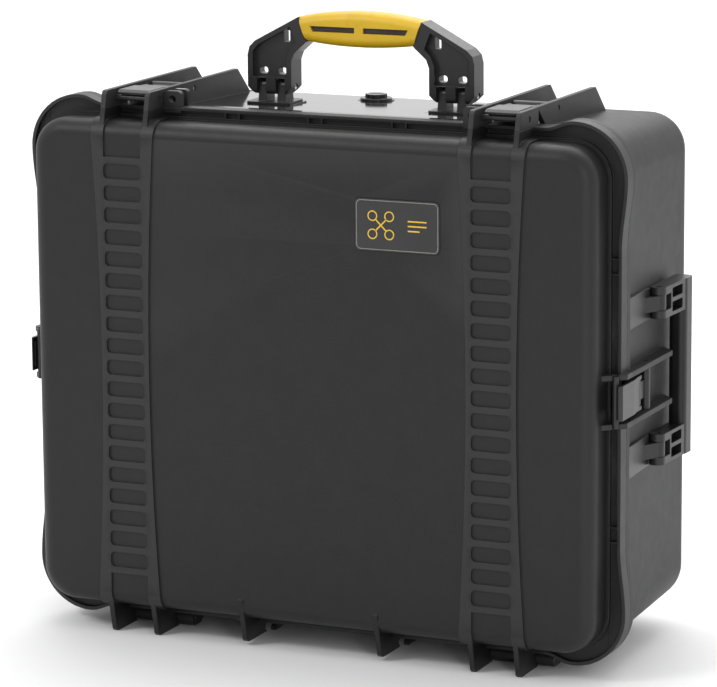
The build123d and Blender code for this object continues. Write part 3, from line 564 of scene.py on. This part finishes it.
def make_base_foam():
    """Cut foam block whose pockets follow the contents."""
    low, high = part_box("foam_base")
    middle_z = (low.z + high.z) / 2
    step, snap, wall = 0.0002, 0.0019, 0.0006

    def cut(x, z):
        # A point near a pocket's edge moves onto its wall, so that the wall stays clean
        rise = z - middle_z
        away, depth = pocket_at(x, rise)
        if abs(away) < snap:
            slope_x = (pocket_at(x + step, rise)[0] - away) / step
            slope_z = (pocket_at(x, rise + step)[0] - away) / step
            move = math.copysign(wall, away) - away
            x, z = x + slope_x * move, z + slope_z * move
        sunk = depth - POCKET_LIFT if away < 0 else 0
        return x, z, BLOCK_TOP + ripple(x, z, 0.0004, 45, 9.0) + sunk

    layers = ((0.0012, 0), (0.0012, 0.003), (0.0070, 0.170), (0.0085, 0.185), (0.0140, 0.198),
              (0.0240, 0))
    foam_block("base_foam_block", "foam_base", "body", low.y, high.y, counts=(190, 158),
               radius=0.045, layers=layers, relief=cut)


def outline(half_x, half_z, radius, steps=8):
    """Rounded rectangle as (x, z) points."""
    spots = []
    for quarter, (sx, sz) in enumerate(CORNER_SIGNS):
        for step in range(steps + 1):
            angle = math.pi / 2 * (quarter + step / steps)
            spots.append((sx * (half_x - radius) + radius * math.cos(angle),
                          sz * (half_z - radius) + radius * math.sin(angle)))
    return spots


def raised_loop(name, outer, inner, rise, material):
    """Flat raised border between two outlines of the same count, on the badge plate."""
    points, faces, count = [], [], len(outer)
    for spots, lift in ((outer, 0), (outer, rise), (inner, rise), (inner, 0)):
        points += [(BADGE_CENTRE.x + x, BADGE_CENTRE.y - lift, BADGE_CENTRE.z + z) for x, z in spots]
    for layer in range(4):
        below, above = layer * count, (layer + 1) % 4 * count
        for index in range(count):
            after = (index + 1) % count
            faces.append((below + index, below + after, above + after, above + index))
    return new_piece(name, points, faces, material, "lid", smooth=False)


def raised_shape(name, spots, rise, material):
    """Raised flat print on the badge plate from one closed (x, z) outline."""
    points, faces, count = [], [], len(spots)
    for lift in (-PRINT_ROOT, rise):
        points += [(BADGE_CENTRE.x + x, BADGE_CENTRE.y - lift, BADGE_CENTRE.z + z) for x, z in spots]
    faces.append(tuple(range(count)))
    faces.append(tuple(range(2 * count - 1, count - 1, -1)))
    for index in range(count):
        after = (index + 1) % count
        faces.append((index, count + index, count + after, after))
    return new_piece(name, points, faces, material, "lid", smooth=False)


def make_badge():
    """Thin border, a plain four-rotor pictogram and three short bars, all raised print."""
    borders = []
    for inset in (BORDER_INSET, BORDER_INSET + BORDER_WIDTH):
        borders.append(outline(BADGE_SIZE.x / 2 - inset, BADGE_SIZE.z / 2 - inset,
                               BADGE_CORNER + BORDER_INSET - inset))
    raised_loop("badge_border", *borders, PRINT_RISE, BORDER)
    turns = [math.tau * k / ROTOR_SIDES for k in range(ROTOR_SIDES)]
    circle = [(math.cos(turn), math.sin(turn)) for turn in turns]
    for index, (sx, sz) in enumerate(CORNER_SIGNS):
        centre_x, centre_z = MARK_X + sx * ROTOR_REACH, sz * ROTOR_REACH
        loops = [[(centre_x + radius * c, centre_z + radius * d) for c, d in circle]
                 for radius in (ROTOR_RADIUS, ROTOR_RADIUS - ROTOR_LINE)]
        raised_loop("badge_rotor_%d" % index, *loops, PRINT_RISE, GOLD)
    shapes = []
    mark, side = Vector((MARK_X, 0.0)), ROTOR_LINE * ARM_HALF
    for slope in (1, -1):
        along, across = Vector((1, slope)).normalized(), Vector((-slope, 1)).normalized()
        tip = along * (ROTOR_REACH - ROTOR_RADIUS * ARM_OVERLAP) * math.sqrt(2)
        shapes.append([tuple(mark + end + across * side * turn)
                       for end, turn in ((tip, -1), (tip, 1), (-tip, 1), (-tip, -1))])
    for row, width in enumerate(BAR_WIDTHS):
        level = BAR_TOP - BAR_PITCH * row
        shapes.append([(BAR_LEFT, level), (BAR_LEFT + width, level),
                       (BAR_LEFT + width, level + BAR_HEIGHT), (BAR_LEFT, level + BAR_HEIGHT)])
    for index, shape in enumerate(shapes):
        raised_shape("badge_print_%d" % index, shape, PRINT_RISE + PRINT_STEP * index, GOLD)


make_camera()
make_studio()
paint_nodes()
make_lid_foam()
make_base_foam()
make_badge()
